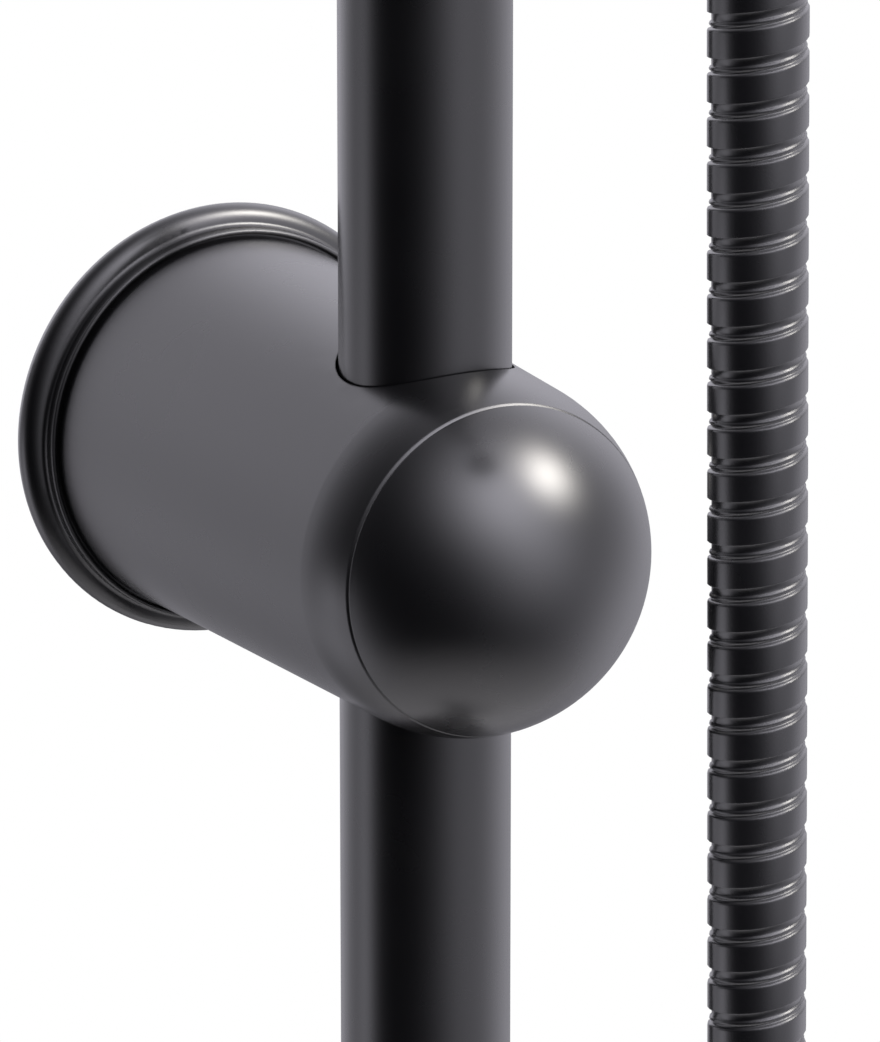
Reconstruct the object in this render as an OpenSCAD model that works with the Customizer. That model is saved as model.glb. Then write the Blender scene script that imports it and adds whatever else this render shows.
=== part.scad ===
// Rain shower column: a round riser held off the wall by two ball-ended brackets.
// It carries an overhead rain head, a sliding handset holder, a diverter and a metal hose.
// Millimetres. Origin: the lower bracket's wall face. +Z is up, the wall is y = 0, the front is -Y.

/* [Riser] */
// Outside diameter of the riser tube and the overhead arm
tube_d = 25; // [22:0.5:28]
// Wall thickness of the tubes
tube_wall = 1.5; // [1:0.1:2]
// Distance from the wall to the riser's axis
riser_off = 70; // [64:1:80]
// Height of the riser's upper end above the lower bracket
riser_top = 800; // [760:5:900]
// Depth of the riser's lower end below the lower bracket
riser_foot = 412; // [405:1:415]
// Radial gap between the riser and a bracket's cross bore
bore_gap = 0.4; // [0.3:0.05:0.6]

/* [Brackets] */
// Height of the upper bracket above the lower one
bracket_pitch = 650; // [620:5:680]
// Outside radius of the wall rosette
rosette_r = 33.5; // [32:0.5:38]
// Radius of the arm's root, where it meets the rosette
arm_root_r = 29.4; // [28:0.1:30]
// Radius of the ball that ends the arm
ball_r = 26.8; // [25:0.1:28]
// How far the ball's centre lies in front of the riser's axis
ball_lead = 12; // [8:0.5:14]
// How far the cap's seam lies in front of the riser's axis
seam_lead = 23; // [21:0.5:25]
// Width of the fine chamfer on each side of the seam
seam_cut = 0.35; // [0.2:0.05:0.5]
// Distance between the two wall screws of a bracket
screw_pitch = 32; // [30:0.5:33]
// Radius of a wall screw hole
screw_r = 2.75; // [2.5:0.25:3]

/* [Overhead arm] */
// Bend radius of the arm's upper corner
corner_r = 65; // [50:1:80]
// Bend radius of the arm's drop at its front end
drop_r = 45; // [40:1:55]
// Reach from the riser's axis to the rain head's axis
reach = 330; // [300:5:380]
// Height of the arm's level run above the riser's end
arm_rise = 105; // [95:1:130]

/* [Rain head] */
// Radius of the rain head
head_r = 125; // [100:5:150]
// Thickness of the head at its rim
rim_h = 8; // [7:0.5:12]
// Height of the head from its face to the top of its neck
dome_h = 30; // [29:0.5:36]
// Distance between the rings of nozzles
nozzle_step = 16; // [14:0.5:18]
// Number of rings of nozzles round the middle one
nozzle_rings = 6; // [4:1:6]
// Radius of the swivel ball
swivel_r = 11; // [10:0.5:12]

/* [Slider] */
// Height of the slider above the lower bracket
slider_z = 440; // [300:5:500]
// Radius of the slider's collar
collar_r = 21; // [19:0.5:22]
// Height of the slider's collar
collar_h = 44; // [36:1:50]
// Wall thickness of the nylon bush inside the collar
bush_wall = 2.5; // [2:0.25:3]
// Radial running gap between bush and riser
run_gap = 0.05; // [0.02:0.01:0.1]
// Radius of the pivot drum that carries the cradle
drum_r = 15; // [13:0.5:16]
// Radius of the clamp knob
knob_r = 15; // [13:0.5:18]

/* [Handset] */
// Sideways place of the handset and of the hanging hose
hose_x = 21; // [20:0.5:24]
// Distance from the riser's axis forward to the handset's axis
hose_lead = 60; // [58:1:64]
// Length of the handle above the cone nut
handle_len = 150; // [130:5:180]
// Radius of the spray head
spray_r = 48; // [40:1:55]
// How far the spray face turns down from upright, in degrees
spray_tilt = 20; // [10:1:35]

/* [Diverter] */
// Height of the diverter's middle below the lower bracket
diverter_drop = 430; // [425:1:435]
// Radius of the diverter's round body
diverter_r = 27; // [25:0.5:29]
// Sideways distance from the riser's axis to the hose outlet
outlet_x = 75; // [70:1:80]
// Radius of the pipe threads, for half-inch pipe
thread_r = 10.4; // [10:0.1:10.5]

/* [Hose] */
// Outside diameter of the metal hose
hose_d = 14; // [13:0.5:15]
// Sides of the plain hose tube
hose_sides = 10; // [8:1:12]

/* [Hidden] */

$fn = 72;
eps = 0.01;
fit_gap = 0.02;
tube_r = tube_d / 2;
tube_bore_r = tube_r - tube_wall;
black = [0.13, 0.13, 0.14];
dark_steel = [0.3, 0.3, 0.32];
brass = [0.72, 0.58, 0.3];
nylon = [0.85, 0.84, 0.8];
rubber = [0.2, 0.2, 0.21];

// Bracket, measured along its axis from the wall
plate_t = 4;
plate_r = 24;
boss_r = 8;
boss_end = 18;
boss_bore_r = 2.5;
boss_bore_depth = 6;
bead_r = 2.7;
bead_c = rosette_r - bead_r;
bead_t = 2.8;
cove_r = 1.04;
cove_c = bead_c + 0.8;
cove_t = 6.4;
lip_r = 0.4;
lip_c = cove_c - cove_r - lip_r;
lip_t = 7.7;
rosette_t = 7;
rosette_hole_r = 22;
rosette_web_t = 0.8;
plate_gap = 0.4;
ball_t = riser_off + ball_lead;
seam_t = riser_off + seam_lead;
seam_r = sqrt(ball_r * ball_r - pow(seam_t - ball_t, 2));
cone_sin = (arm_root_r - ball_r) / (ball_t - rosette_t);
cone_end_t = ball_t + ball_r * cone_sin;
cone_end_r = ball_r * sqrt(1 - cone_sin * cone_sin);
hub_r = 12.5;
pocket_r = 21.8;
pocket_end = 48;
socket_r = 8;
pad_back = riser_off + tube_r - 2;
pad_front = riser_off + tube_r + 3;
ring_front = pad_front + 3;
cap_spigot_back = ring_front + 0.4;
grub_t = 13;
grub_r = 2.5;
grub_len = 8;
grub_bite = 1;
grub_socket_r = 1.4;
ring_socket_r = 4;

// Slip joint between the riser and the overhead arm
slip_len = 40;
slip_gap = 0.15;
seal_wire_r = 0.5;
seal_groove_w = 2;
seal_ease = 0.05;
slip_seal_drops = [12, 26];
foot_seal_heights = [22, 28];
groove_w = 3;
groove_depth = 0.8;
key_w = 2.7;
key_depth = 0.6;

// Overhead arm and rain head
arm_z = riser_top + arm_rise;
head_y = -riser_off - reach;
drop_end_z = arm_z - drop_r - 8;
ball_z = drop_end_z - 20;
neck_r = 14.5;
neck_top = 3;
ball_neck_r = 6.5;
ball_bore_r = 3.5;
ball_plug_h = 10;
collar_out_r = 18.5;
collar_drop = 14;
collar_tall = 20.5;
head_face_z = ball_z - neck_top - dome_h;
seat_r = swivel_r + 2;
seat_low = 9;
seat_high = 3.8;
face_t = 2.5;
mat_t = 2.2;
nozzle_r = 2.1;
nozzle_tip_r = 1.4;
nozzle_out = 1.6;
nozzle_gap = 0.3;

// Slider
collar_edge_r = 3;
slider_stem_r = 11.5;
knob_boss_r = 11;
spindle_r = 4;
drum_face_x = 4.6;
cradle_face_x = 6;
washer_t = 1.2;
pin_r = 6;
pin_end_x = -11.9;
head_recess = 3;
screw_head_r = 7.9;
screw_shank_r = 2.5;
bush_r = tube_r + run_gap + bush_wall;
knob_x = -collar_r - 4;
knob_len = 20;
knob_flutes = 12;
flute_r = 2.4;
flute_len = 8.5;
cone_low = 4;
cone_high = 36;
hose_y = -riser_off - hose_lead;

// Handset, measured along its axis from the slider's height; the cradle tilts about a line through that axis
nut_low = -4;
nut_high = 38;
nut_low_r = 9.4;
nut_high_r = 12.6;
nut_bore = 8;
waterway_r = 6;
handset_washer_t = 2;
handset_washer_r = 9.4;
handle_top_r = 11;
neck_lean = 6;
neck_len = 34;
neck_end_r = 9;
spray_lead = 14;
spray_z = nut_high + handle_len + 40;
spray_t = 15;
spray_step = 9;
spray_rings = 4;
spray_face_t = 2.5;

// Diverter
outlet_end = diverter_drop + 22;
nipple_end = outlet_end + 16;
nipple_r = 9;
outlet_nut_end = outlet_end + 38;
hose_play = 0.5;
hose_bore_r = 4.5;
cone_nut_socket_r = 8.5;
outlet_nut_r = 13;
outlet_nut_cone = 14;
outlet_nut_floor = 20;
outlet_flutes = 18;
foot_bore = diverter_drop - riser_foot;
inlet_thread = 15;
inlet_seat_r = thread_r - 0.7;
inlet_nut_r = 15;
cartridge_r = 15;
cartridge_back_x = 5;
branch_r = 19;
branch_x = -32;
lower_neck_r = 16;
lower_neck_len = 44;
inlet_top = diverter_drop + lower_neck_len;
inlet_end = inlet_top + 22;
upper_neck_r = 17;
upper_neck_len = 36;
elbow_r = 12.5;
elbow_ball_r = 14.5;
outlet_r = 13;
valve_bore_r = 6;
riser_bore_r = 7;
tail_r = 7.9;
knob_ball_r = 20;
diverter_knob_x = -36.5;
lever_r = 2.5;
lever_tip_r = 3.2;
lever_x = -44.5;
lever_root = 10;
lever_len = 30;
stem_r = 4.5;

// Hose: the route's points, from the outlet's nut to the cone nut under the handset
hose_pts = [
    [75, -70, -480], [75, -70, -512], [79, -66, -546], [84, -60, -580], [89, -54, -613],
    [92, -51, -642], [92, -51, -664], [85, -58, -697], [69, -75, -721], [48, -99, -729],
    [26, -125, -720], [10, -142, -696], [4, -149, -663], [4, -148, -627], [7, -146, -591],
    [12, -142, -545], [18, -137, -490], [22, -132, -430], [23.4, -130, -360], [22.8, -130, -200],
    [21.8, -130, -100], [20.6, -130, 0], [19.4, -130, 100], [18.9, -130, 200], [20.2, -130, 310],
    [21, -130, 380], [21, -130, 412], [21, -130, 444]
];
hose_steps = 3;

// Places its children with +Z turned to point straight out from the wall, at a given height
module from_wall(z) {
    translate([0, 0, z]) rotate([90, 0, 0]) children();
}

// Solid of revolution about Z from points of radius and height
module turned(points) {
    rotate_extrude() polygon(points);
}

// Ring of round section about Z
module ring(middle_r, height, section_r) {
    translate([0, 0, height]) rotate_extrude() translate([middle_r, 0]) circle(r = section_r);
}

// Ball-fronted knob on a round base, from a rounded back edge at z = 0
module ball_knob(r, edge_r, ball_height) {
    union() {
        ring(r - edge_r, edge_r, edge_r);
        cylinder(h = ball_height, r = r - edge_r);
        translate([0, 0, edge_r]) cylinder(h = ball_height - edge_r, r = r);
        intersection() {
            translate([0, 0, ball_height]) rotate([90, 0, 0]) sphere(r = r);
            translate([0, 0, ball_height]) cylinder(h = r + 1, r = r + 1);
        }
    }
}

// Points of a part of a circle for a rounded edge, from one angle to another
function arc(cx, cy, r, from, to, steps = 8) =
    [for (i = [0:steps]) let (a = from + (to - from) * i / steps) [cx + r * cos(a), cy + r * sin(a)]];

// Centres of a middle place and rings of six, twelve and so on round it
function rings(step, count) =
    concat([[0, 0]], [for (k = [1:count]) for (i = [0:6 * k - 1]) let (a = 60 * i / k)
        [k * step * cos(a), k * step * sin(a)]]);

// Brackets

// Steel disc on the wall, with a stud that the arm slips over and two holes for wall screws
module wall_plate() {
    color(dark_steel) difference() {
        union() {
            cylinder(h = plate_t, r = plate_r);
            cylinder(h = boss_end, r = boss_r);
        }
        for (side = [-1, 1]) translate([side * screw_pitch / 2, 0, -1]) cylinder(h = plate_t + 2, r = screw_r);
        translate([0, 0, boss_end - boss_bore_depth]) cylinder(h = boss_bore_depth + 1, r = boss_bore_r);
        translate([0, -boss_r - 1, grub_t]) rotate([-90, 0, 0]) cylinder(h = 1 + grub_bite + 0.5, r = grub_r);
    }
}

// Turned cover ring: a fat rounded bead, a cove, and a fine lip that stands round the arm's root
module rosette() {
    color(black) difference() {
        union() {
            ring(bead_c, bead_t, bead_r);
            turned(concat(
                [[0, 0], [bead_c + 1, 0], [bead_c + 1, bead_t], [cove_c - cove_r / 2, bead_t + bead_r - 0.5]],
                arc(cove_c, cove_t, cove_r, -112, -180, 6),
                arc(lip_c, lip_t, lip_r, 0, 180, 8),
                [[lip_c - lip_r, rosette_t], [0, rosette_t]]
            ));
        }
        translate([0, 0, -1]) cylinder(h = rosette_t + 2, r = rosette_hole_r);
        translate([0, 0, -1]) cylinder(h = plate_t + rosette_web_t + 1, r = plate_r + plate_gap);
    }
}

// Cast arm: a slightly tapered barrel that runs into a ball, cut off square at the cap's seam
module bracket_arm() {
    color(black) difference() {
        union() {
            translate([0, 0, rosette_t]) cylinder(h = cone_end_t - rosette_t, r1 = arm_root_r, r2 = cone_end_r);
            intersection() {
                translate([0, 0, ball_t]) sphere(r = ball_r);
                translate([0, 0, cone_end_t - 5]) cylinder(h = seam_t - cone_end_t + 5, r = ball_r + 1);
            }
        }
        difference() {
            translate([0, 0, rosette_t - 1]) cylinder(h = pocket_end - rosette_t + 1, r = pocket_r);
            translate([0, 0, rosette_t - 2]) cylinder(h = pocket_end, r = hub_r);
        }
        translate([0, 0, rosette_t - 1]) cylinder(h = boss_end - rosette_t + 1.5, r = boss_r + 0.1);
        translate([0, 0, riser_off]) rotate([90, 0, 0])
            cylinder(h = 4 * ball_r, r = tube_r + bore_gap, center = true);
        translate([0, 0, riser_off]) cylinder(h = seam_lead + 1, r = socket_r);
        translate([0, -arm_root_r - 1, grub_t]) rotate([-90, 0, 0]) cylinder(h = arm_root_r, r = grub_r);
        translate([0, 0, seam_t - seam_cut]) difference() {
            cylinder(h = 2, r = ball_r + 1);
            translate([0, 0, -eps]) cylinder(h = seam_cut + 2 * eps, r1 = seam_r + 0.2, r2 = seam_r - seam_cut);
        }
    }
}

// Socket grub screw that locks the arm to the wall stud from below
module arm_grub_screw() {
    color(dark_steel) translate([0, -boss_r + grub_bite, grub_t]) rotate([90, 0, 0]) difference() {
        cylinder(h = grub_len, r = grub_r - 0.05);
        translate([0, 0, grub_len - 3]) cylinder(h = 4, r = grub_socket_r, $fn = 6);
    }
}

// Nylon pad, hollowed to the riser, that the clamp ring presses against it
module clamp_pad() {
    color(nylon) difference() {
        translate([0, 0, pad_back]) cylinder(h = pad_front - pad_back, r = socket_r - 0.1);
        translate([0, 0, riser_off]) rotate([90, 0, 0]) cylinder(h = 4 * ball_r, r = tube_r, center = true);
    }
}

// Threaded ring with a hexagon socket, behind the cap
module clamp_ring() {
    color(brass) translate([0, 0, pad_front]) difference() {
        cylinder(h = ring_front - pad_front, r = socket_r - 0.05);
        translate([0, 0, -1]) cylinder(h = ring_front - pad_front + 2, r = ring_socket_r, $fn = 6);
    }
}

// Domed cap: the front of the ball, on a threaded spigot
module end_cap() {
    color(black) union() {
        difference() {
            translate([0, 0, ball_t]) rotate([90, 0, 0]) sphere(r = ball_r);
            translate([0, 0, ball_t - ball_r - 1]) cylinder(h = ball_r + 1 + seam_t - ball_t, r = ball_r + 1);
            translate([0, 0, seam_t - eps]) difference() {
                cylinder(h = seam_cut + eps, r = ball_r + 1);
                translate([0, 0, -eps])
                    cylinder(h = seam_cut + 3 * eps, r1 = seam_r - seam_cut, r2 = seam_r + 0.2);
            }
        }
        translate([0, 0, cap_spigot_back]) cylinder(h = seam_t - cap_spigot_back + 2, r = socket_r - 0.05);
    }
}

// Riser and overhead arm

// Straight drawn tube; a narrow groove down its back keeps the slider facing forwards
module riser() {
    color(black) translate([0, -riser_off, 0]) difference() {
        translate([0, 0, -riser_foot]) cylinder(h = riser_top + riser_foot, r = tube_r);
        translate([0, 0, -riser_foot - 1]) cylinder(h = riser_top + riser_foot + 2, r = tube_bore_r);
        translate([-groove_w / 2, tube_r - groove_depth, ball_r + 10])
            cube([groove_w, 2, bracket_pitch - 2 * ball_r - 20]);
    }
}

// Quarter bend of a tube, from the origin up and over to -Y, cut from a ring
module quarter_bend(bend_r, r) {
    translate([0, -bend_r, 0]) rotate([90, 0, 90])
        rotate_extrude(angle = 90) translate([bend_r, 0]) circle(r = r);
}

// The overhead arm's path as a solid of a given radius: up, over, forwards and down
module arm_path(r, spare) {
    run_y = -riser_off - corner_r;
    run_len = reach - corner_r - drop_r;
    union() {
        translate([0, -riser_off, riser_top - spare]) cylinder(h = arm_rise - corner_r + spare, r = r);
        translate([0, -riser_off, arm_z - corner_r]) quarter_bend(corner_r, r);
        translate([0, run_y, arm_z]) rotate([90, 0, 0]) cylinder(h = run_len, r = r);
        translate([0, head_y, arm_z - drop_r]) mirror([0, 1, 0]) quarter_bend(drop_r, r);
        translate([0, head_y, drop_end_z - spare]) cylinder(h = arm_z - drop_r - drop_end_z + spare, r = r);
    }
}

// Bent tube with a stepped foot that slips into the riser
module overhead_arm() {
    foot_r = tube_bore_r - slip_gap;
    color(black) difference() {
        union() {
            arm_path(tube_r, 0);
            translate([0, -riser_off, riser_top - slip_len]) cylinder(h = slip_len + 1, r = foot_r);
        }
        arm_path(tube_bore_r - 2, slip_len + 1);
        for (drop = slip_seal_drops) translate([0, -riser_off, riser_top - drop])
            rotate_extrude() translate([foot_r, 0]) square([2, seal_groove_w], center = true);
    }
}

// Two O-rings in the grooves of the slip joint
module arm_joint_seals() {
    color(rubber) for (drop = slip_seal_drops) translate([0, -riser_off, riser_top - drop])
        rotate_extrude() translate([tube_bore_r - seal_wire_r - seal_ease, 0])
            circle(r = seal_wire_r, $fn = 24);
}

// Rain head

// Nipple that closes the arm's end and carries the hollow ball
module swivel_ball() {
    color(black) translate([0, head_y, 0]) difference() {
        union() {
            translate([0, 0, drop_end_z - 3]) cylinder(h = 3, r = tube_r);
            translate([0, 0, drop_end_z - eps]) cylinder(h = ball_plug_h, r = tube_bore_r - 2.1);
            translate([0, 0, ball_z]) cylinder(h = drop_end_z - ball_z, r = ball_neck_r);
            translate([0, 0, ball_z]) sphere(r = swivel_r);
        }
        translate([0, 0, ball_z - swivel_r - 1])
            cylinder(h = drop_end_z - ball_z + swivel_r + ball_plug_h + 2, r = ball_bore_r);
    }
}

// Soft spherical ring under the ball, which seals the joint
module swivel_seat() {
    color(rubber) translate([0, head_y, ball_z]) difference() {
        intersection() {
            sphere(r = seat_r);
            translate([0, 0, -seat_low]) cylinder(h = seat_low - seat_high, r = seat_r + 1);
        }
        sphere(r = swivel_r + 0.08);
    }
}

// Union nut that screws over the head's neck and closes round the ball
module swivel_collar() {
    color(black) translate([0, head_y, ball_z]) difference() {
        translate([0, 0, -collar_drop]) turned(concat(
            [[0, 0]], arc(collar_out_r - 1, 1, 1, -90, 0, 3),
            arc(collar_out_r - 4, collar_tall - 4, 4, 0, 90, 6),
            [[0, collar_tall]]
        ));
        sphere(r = swivel_r + 0.35);
        intersection() {
            sphere(r = seat_r + 0.3);
            translate([0, 0, -20]) cylinder(h = 19.5, r = 20);
        }
        translate([0, 0, -collar_drop - 1]) cylinder(h = collar_drop + 1 - neck_top + 0.2, r = neck_r + 0.1);
    }
}

// Upper shell of the head: a thin spun bell with a rolled rim and a threaded neck
module rain_head_shell() {
    wall = 1.6;
    crown = rim_h + 8;
    color(black) translate([0, head_y, head_face_z]) difference() {
        turned(concat(
            [[0, 0], [head_r - 3, 0]],
            arc(head_r - rim_h / 2, rim_h / 2, rim_h / 2, -60, 80, 10),
            [[head_r * 0.7, rim_h + 2.4], [head_r * 0.4, rim_h + 5.4], [30, crown - 0.4], [22, crown + 1.4]],
            [[neck_r + 3, crown + 2.4], [neck_r, crown + 2.5], [neck_r, dome_h], [0, dome_h]]
        ));
        turned([
            [0, -1], [head_r - 5, -1], [head_r - 5, rim_h - wall], [head_r * 0.7, rim_h + 2.4 - wall],
            [head_r * 0.4, rim_h + 5.4 - wall], [30, crown - 0.4 - wall], [12, crown - wall], [0, crown - wall]
        ]);
        cylinder(h = dome_h + 1, r = 6);
        translate([0, 0, dome_h + neck_top]) sphere(r = seat_r + 0.3);
    }
}

// Flat face with a hole for each nozzle
module rain_head_face() {
    color(black) translate([0, head_y, head_face_z]) difference() {
        cylinder(h = face_t, r = head_r - 5.1);
        for (p = rings(nozzle_step, nozzle_rings)) translate([p[0], p[1], -1])
            cylinder(h = face_t + 2, r = nozzle_r + nozzle_gap, $fn = 16);
    }
}

// One silicone sheet behind the face, with a teat through each hole
module rain_head_nozzle_mat() {
    color(rubber) translate([0, head_y, head_face_z]) union() {
        translate([0, 0, face_t]) cylinder(h = mat_t, r = head_r - 12);
        for (p = rings(nozzle_step, nozzle_rings)) translate([p[0], p[1], -nozzle_out])
            cylinder(h = face_t + nozzle_out + 0.5, r1 = nozzle_tip_r, r2 = nozzle_r, $fn = 16);
    }
}

// Slider

// Places its children on the cradle's tilting axis, with +Z turned to +X
module on_tilt_axis(x) {
    translate([x, hose_y, slider_z]) rotate([0, 90, 0]) children();
}

// Cast collar with a forward stem, flat on the hose's side, and the fixed half of the pivot drum
module slider_body() {
    front = hose_lead + drum_r + 2;
    color(black) difference() {
        union() {
            translate([0, -riser_off, slider_z - collar_h / 2]) union() {
                ring(collar_r - collar_edge_r, collar_edge_r, collar_edge_r);
                ring(collar_r - collar_edge_r, collar_h - collar_edge_r, collar_edge_r);
                cylinder(h = collar_h, r = collar_r - collar_edge_r);
                translate([0, 0, collar_edge_r]) cylinder(h = collar_h - 2 * collar_edge_r, r = collar_r);
            }
            translate([0, -riser_off, slider_z]) rotate([90, 0, 0]) cylinder(h = hose_lead, r = slider_stem_r);
            translate([0, -riser_off, slider_z]) rotate([0, -90, 0])
                cylinder(h = collar_r + 3, r = knob_boss_r);
            on_tilt_axis(-drum_r) cylinder(h = drum_r + drum_face_x, r = drum_r);
        }
        translate([drum_face_x, -riser_off - front, slider_z - collar_h])
            cube([collar_h, front - collar_r - 0.5, 2 * collar_h]);
        translate([0, -riser_off, slider_z]) cylinder(h = collar_h + 2, r = bush_r, center = true);
        translate([0, -riser_off, slider_z]) rotate([0, -90, 0])
            cylinder(h = collar_r + 4, r = spindle_r + run_gap);
        on_tilt_axis(-drum_r - 1) cylinder(h = drum_r + drum_face_x + 2, r = pin_r + run_gap);
        on_tilt_axis(-drum_r - 1) cylinder(h = head_recess + 1, r = screw_head_r + 0.1);
    }
}

// Nylon bush, split at the front, with a key that runs in the riser's groove
module slider_bush() {
    color(nylon) translate([0, -riser_off, slider_z]) union() {
        difference() {
            cylinder(h = collar_h - 4, r = bush_r, center = true);
            cylinder(h = collar_h, r = tube_r + run_gap, center = true);
            translate([-0.75, -bush_r - 1, -collar_h]) cube([1.5, bush_wall + 2, 2 * collar_h]);
        }
        translate([-key_w / 2, tube_r - key_depth, -collar_h / 2 + 4]) cube([key_w, 1.5, collar_h - 8]);
    }
}

// Spindle of the clamp knob; its tip bears on the bush
module slider_clamp_spindle() {
    color(dark_steel) translate([-bush_r - 0.3, -riser_off, slider_z]) rotate([0, -90, 0])
        cylinder(h = -knob_x - bush_r + 11.7, r = spindle_r);
}

// Ball-fronted clamp knob with shallow finger flutes
module slider_knob() {
    color(black) translate([knob_x, -riser_off, slider_z]) rotate([0, -90, 0]) difference() {
        ball_knob(knob_r, 2, knob_len - knob_r * 0.7);
        translate([0, 0, -1]) cylinder(h = 13, r = spindle_r);
        for (i = [1:knob_flutes]) rotate(360 / knob_flutes * i) translate([knob_r + 1.6, 0, -1])
            cylinder(h = flute_len + 1, r = flute_r, $fn = 24);
    }
}

// Tilting half of the drum on its own pin, with an open conical holder for the handset's nut
module cradle() {
    slot_w = hose_d + 1.5;
    seat_slope = (nut_high_r - nut_low_r) / (nut_high - nut_low);
    low_r = nut_low_r + seat_slope * (cone_low - nut_low);
    high_r = nut_low_r + seat_slope * (cone_high - nut_low);
    low_wall = 3;
    high_wall = 3.4;
    color(black) difference() {
        union() {
            on_tilt_axis(cradle_face_x) cylinder(h = hose_x + low_r + low_wall - cradle_face_x, r = drum_r);
            on_tilt_axis(pin_end_x) cylinder(h = cradle_face_x - pin_end_x + 1, r = pin_r);
            on_handset() translate([0, 0, cone_low])
                cylinder(h = cone_high - cone_low, r1 = low_r + low_wall, r2 = high_r + high_wall);
        }
        on_handset() translate([0, 0, cone_low]) cylinder(h = cone_high - cone_low, r1 = low_r, r2 = high_r);
        on_handset() translate([0, 0, cone_high - eps]) cylinder(h = 20, r = high_r);
        on_handset() translate([0, 0, -2 * drum_r]) cylinder(h = 2 * drum_r + cone_low + eps, r = low_r + 0.6);
        on_handset() translate([-slot_w / 2, -40, -2 * drum_r]) cube([slot_w, 40, 80]);
        on_tilt_axis(pin_end_x - 1) cylinder(h = 13, r = screw_shank_r + fit_gap);
    }
}

// Sprung washer that gives the tilt its friction
module cradle_friction_washer() {
    color(dark_steel) on_tilt_axis(drum_face_x) difference() {
        cylinder(h = washer_t, r = drum_r - 2);
        translate([0, 0, -1]) cylinder(h = washer_t + 2, r = pin_r + 0.1);
    }
}

// Retaining screw in the end of the cradle's pin, sunk in the fixed drum
module cradle_pivot_screw() {
    head_back_x = -drum_r + 0.3;
    head_front_x = -drum_r + head_recess - 0.05;
    color(dark_steel) difference() {
        union() {
            on_tilt_axis(head_back_x) cylinder(h = head_front_x - head_back_x, r = screw_head_r);
            on_tilt_axis(head_back_x) cylinder(h = 13, r = screw_shank_r);
        }
        on_tilt_axis(head_back_x - 1) cylinder(h = 2.8, r = 2.4, $fn = 6);
    }
}

// Handset

// Places its children on the handset's axis, at the slider's height
module on_handset() {
    translate([hose_x, hose_y, slider_z]) children();
}

// Places its children at the middle of the spray face, with +Z pointing out of it
module on_spray_face() {
    on_handset() translate([0, -spray_lead, spray_z]) rotate([90 + spray_tilt, 0, 0]) children();
}

// Handle and spray head in one casting, with the waterway bored up the handle
module handset_body() {
    color(black) difference() {
        union() {
            on_handset() translate([0, 0, nut_high])
                cylinder(h = handle_len, r1 = nut_high_r - 0.4, r2 = handle_top_r);
            on_handset() translate([0, 0, nut_high + handle_len]) sphere(r = handle_top_r);
            on_handset() translate([0, 0, nut_high + handle_len]) rotate([neck_lean, 0, 0])
                cylinder(h = neck_len, r1 = handle_top_r, r2 = neck_end_r);
            on_spray_face() translate([0, 0, -spray_t]) turned(concat(
                [[0, -4], [12, -4], [26, -2.6]],
                arc(spray_r - 6, 4, 6, -70, 20, 8),
                [[spray_r, spray_t - 1.5]], arc(spray_r - 1.2, spray_t - 1.2, 1.2, 0, 90, 4), [[0, spray_t]]
            ));
        }
        on_spray_face() translate([0, 0, -spray_face_t]) cylinder(h = 10, r = spray_r - 3);
        on_spray_face() translate([0, 0, -10]) cylinder(h = 10, r = spray_r - 6);
        on_handset() cylinder(h = nut_high + handle_len, r = waterway_r);
        on_handset() translate([0, 0, nut_high + handle_len]) rotate([neck_lean, 0, 0])
            cylinder(h = neck_len - 2, r = waterway_r - 1);
        on_handset() translate([0, 0, nut_high - 1])
            cylinder(h = handset_washer_t + 1, r = handset_washer_r + 0.1);
    }
}

// Round spray plate
module handset_face() {
    color(black) on_spray_face() difference() {
        translate([0, 0, -spray_face_t]) cylinder(h = spray_face_t, r = spray_r - 3.1);
        for (p = rings(spray_step, spray_rings)) translate([p[0], p[1], -spray_face_t - 1])
            cylinder(h = spray_face_t + 2, r = 1.9, $fn = 16);
    }
}

// Silicone sheet with a teat through each hole of the spray plate
module handset_nozzle_mat() {
    color(rubber) on_spray_face() union() {
        translate([0, 0, -spray_face_t - 1.8]) cylinder(h = 1.8, r = spray_r - 7);
        for (p = rings(spray_step, spray_rings)) translate([p[0], p[1], -spray_face_t - 0.5])
            cylinder(h = spray_face_t + 1.7, r1 = 1.6, r2 = 1.1, $fn = 16);
    }
}

// Flat washer between the cone nut and the handle
module handset_washer() {
    color(rubber) on_handset() translate([0, 0, nut_high]) difference() {
        cylinder(h = handset_washer_t, r = handset_washer_r);
        translate([0, 0, -1]) cylinder(h = handset_washer_t + 2, r = waterway_r);
    }
}

// Hose

// Tapered nut at the handset end; it is what the cradle holds
module hose_cone_nut() {
    color(black) on_handset() difference() {
        translate([0, 0, nut_low]) cylinder(h = nut_high - nut_low, r1 = nut_low_r, r2 = nut_high_r);
        translate([0, 0, nut_low - 1]) cylinder(h = nut_bore + 1, r = hose_d / 2 + hose_play);
        translate([0, 0, nut_low]) cylinder(h = nut_high, r = hose_bore_r);
        translate([0, 0, nut_high - 12]) cylinder(h = 13, r = cone_nut_socket_r);
    }
}

// Fluted nut at the outlet end
module hose_outlet_nut() {
    color(black) translate([outlet_x, -riser_off, -outlet_nut_end]) difference() {
        union() {
            cylinder(h = outlet_nut_cone, r1 = nut_low_r, r2 = outlet_nut_r - 1);
            translate([0, 0, outlet_nut_cone])
                cylinder(h = outlet_nut_end - outlet_end - outlet_nut_cone - 0.2, r = outlet_nut_r);
        }
        translate([0, 0, -1]) cylinder(h = 11.1, r = hose_d / 2 + hose_play);
        cylinder(h = 30, r = hose_bore_r);
        translate([0, 0, outlet_nut_floor]) cylinder(h = 40, r = thread_r + 0.05);
        for (i = [1:outlet_flutes]) rotate(360 / outlet_flutes * i)
            translate([outlet_nut_r + 0.5, 0, outlet_nut_cone + 1.5]) cylinder(h = 20, r = 1, $fn = 16);
    }
}

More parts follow.
